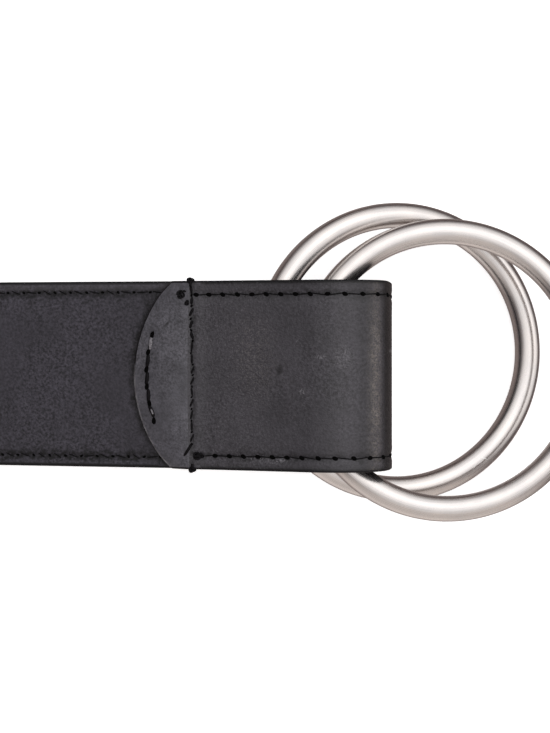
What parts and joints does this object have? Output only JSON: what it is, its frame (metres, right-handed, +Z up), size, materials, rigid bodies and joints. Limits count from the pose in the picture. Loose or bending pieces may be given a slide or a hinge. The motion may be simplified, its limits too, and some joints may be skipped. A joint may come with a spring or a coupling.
{
  "type": "double ring belt",
  "caption": "Leather belt whose end is folded round two plain metal rings and sewn down; the free end threads through both rings and back between them to close it.",
  "frame": {"origin": "underside of the flat strap, at the middle of its width and halfway from its tip to the fold", "axes": "+X along the strap towards the rings, +Z up, from the belt's face side to its waist side"},
  "size_m": [1.0416, 0.0647, 0.0279],
  "materials": {
    "face_leather": "smooth matte, dark grey",
    "lining_leather": "matte, dark grey",
    "ring_metal": "satin, polished along the wire"
  },
  "bodies": {
    "strap": {"strap_face": "face_leather", "strap_lining": "lining_leather"},
    "lower_ring": {"lower_ring": "ring_metal"},
    "upper_ring": {"upper_ring": "ring_metal"}
  },
  "joints": [
    {"name": "lower_ring_turn", "type": "hinge", "parent": "strap", "child": "lower_ring", "pos_m": [0.50184, 0.0045, 0.00928], "axis": [0.2379, 0, 0.9713], "continuous": true},
    {"name": "upper_ring_turn", "type": "hinge", "parent": "strap", "child": "upper_ring", "pos_m": [0.51104, 0.0011, 0.01526], "axis": [0.0265, 0.0804, 0.9964], "continuous": true}
  ]
}
